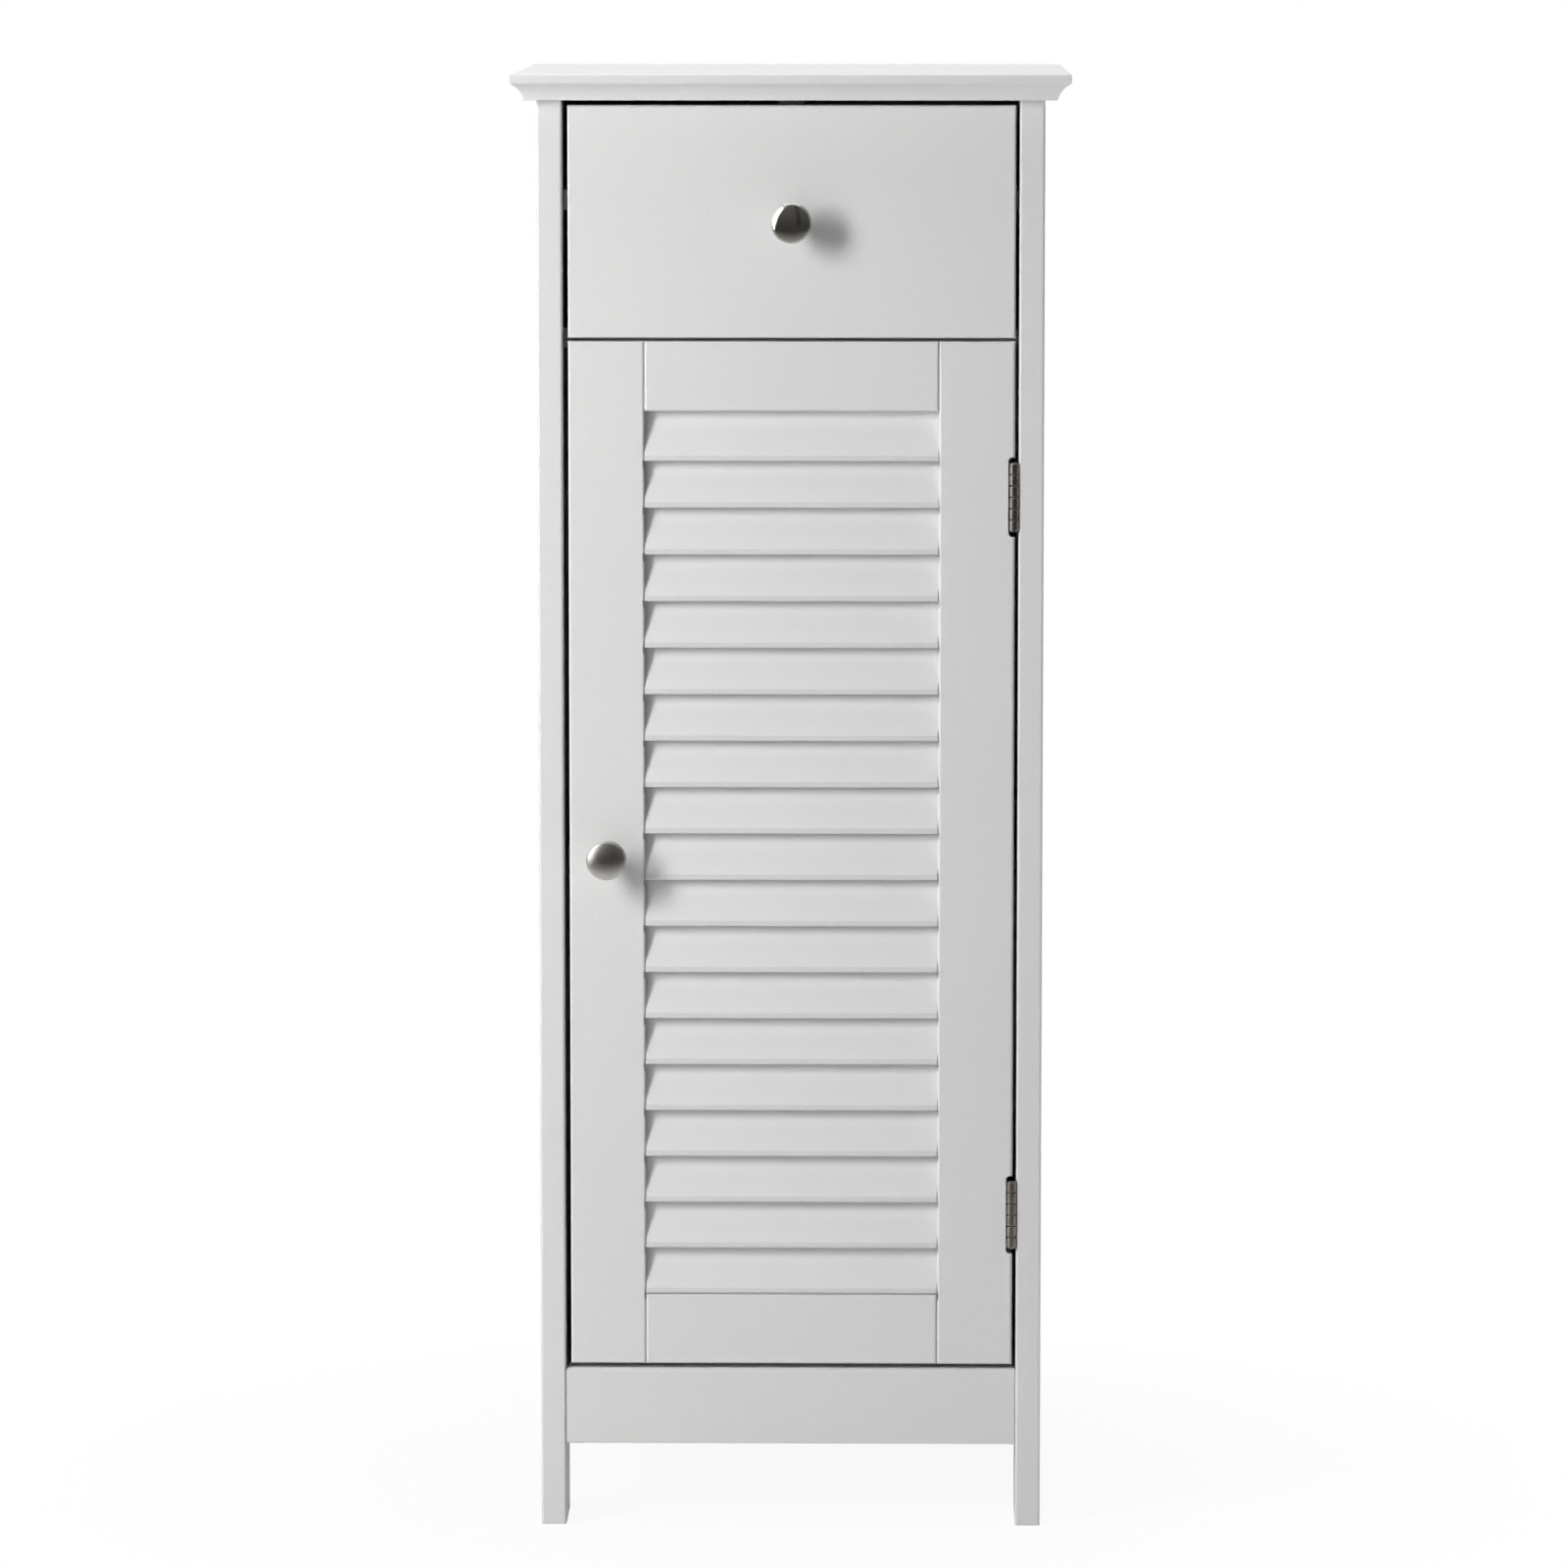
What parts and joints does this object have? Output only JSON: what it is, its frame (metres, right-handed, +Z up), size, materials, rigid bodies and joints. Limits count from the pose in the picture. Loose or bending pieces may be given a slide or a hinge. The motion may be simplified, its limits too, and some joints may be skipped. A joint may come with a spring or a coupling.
{
  "type": "louvred door cabinet",
  "caption": "Narrow white floor cabinet with a drawer over a cupboard whose inset door has fixed louvres, on legs cut from its side panels.",
  "frame": {"origin": "middle of the bottom of the bounding box, on the floor between the legs", "axes": "+Z up; the front with the knobs faces -Y; +X is to the right as one faces the front, on the hinge side"},
  "size_m": [0.33, 0.309, 0.87],
  "materials": {
    "white_paint": "satin white paint on MDF",
    "white_hardboard": "white-faced hardboard",
    "hardwood": "bare beech",
    "nickel": "satin nickel plate",
    "zinc_steel": "bright zinc plate",
    "zinc_casting": "cast zinc",
    "white_plastic": "moulded, matt",
    "grey_plastic": "moulded, matt",
    "ferrite": "ground ferrite"
  },
  "bodies": {
    "cabinet": {"adjustable_shelf": "white_paint", "apron": "white_paint", "back_panel": "white_hardboard", "bottom_panel": "white_paint", "cabinet_wood_screws": "zinc_steel", "cam_bolts": "zinc_steel", "cam_discs": "zinc_casting", "carcass_dowels": "hardwood", "catch_magnet": "ferrite", "divider_panel": "white_paint", "drawer_runners": "white_paint", "drawer_stop": "grey_plastic", "hinge_lower_cabinet_leaf": "nickel", "hinge_pins": "nickel", "hinge_upper_cabinet_leaf": "nickel", "left_side_panel": "white_paint", "magnetic_catch_housing": "white_plastic", "right_side_panel": "white_paint", "shelf_pins": "zinc_steel", "top_board": "white_paint"},
    "drawer": {"drawer_back": "white_paint", "drawer_bottom": "white_hardboard", "drawer_dowels": "hardwood", "drawer_front": "white_paint", "drawer_knob": "nickel", "drawer_knob_screw": "zinc_steel", "drawer_left_side": "white_paint", "drawer_right_side": "white_paint", "drawer_wood_screws": "zinc_steel"},
    "door": {"door_bottom_rail": "white_paint", "door_dowels": "hardwood", "door_hinge_stile": "white_paint", "door_knob": "nickel", "door_knob_screw": "zinc_steel", "door_latch_stile": "white_paint", "door_top_rail": "white_paint", "door_wood_screws": "zinc_steel", "hinge_lower_door_leaf": "nickel", "hinge_upper_door_leaf": "nickel", "slat_01": "white_paint", "slat_02": "white_paint", "slat_03": "white_paint", "slat_04": "white_paint", "slat_05": "white_paint", "slat_06": "white_paint", "slat_07": "white_paint", "slat_08": "white_paint", "slat_09": "white_paint", "slat_10": "white_paint", "slat_11": "white_paint", "slat_12": "white_paint", "slat_13": "white_paint", "slat_14": "white_paint", "slat_15": "white_paint", "slat_16": "white_paint", "slat_17": "white_paint", "slat_18": "white_paint", "slat_19": "white_paint", "strike_plate": "zinc_steel"}
  },
  "joints": [
    {"name": "drawer_slide", "type": "slide", "parent": "cabinet", "child": "drawer", "axis": [0, -1, 0], "range_m": [0, 0.214]},
    {"name": "door_hinge", "type": "hinge", "parent": "cabinet", "child": "door", "pos_m": [0.1323, -0.1295, 0.4055], "axis": [0, 0, 1], "range_deg": [0, 140]}
  ]
}
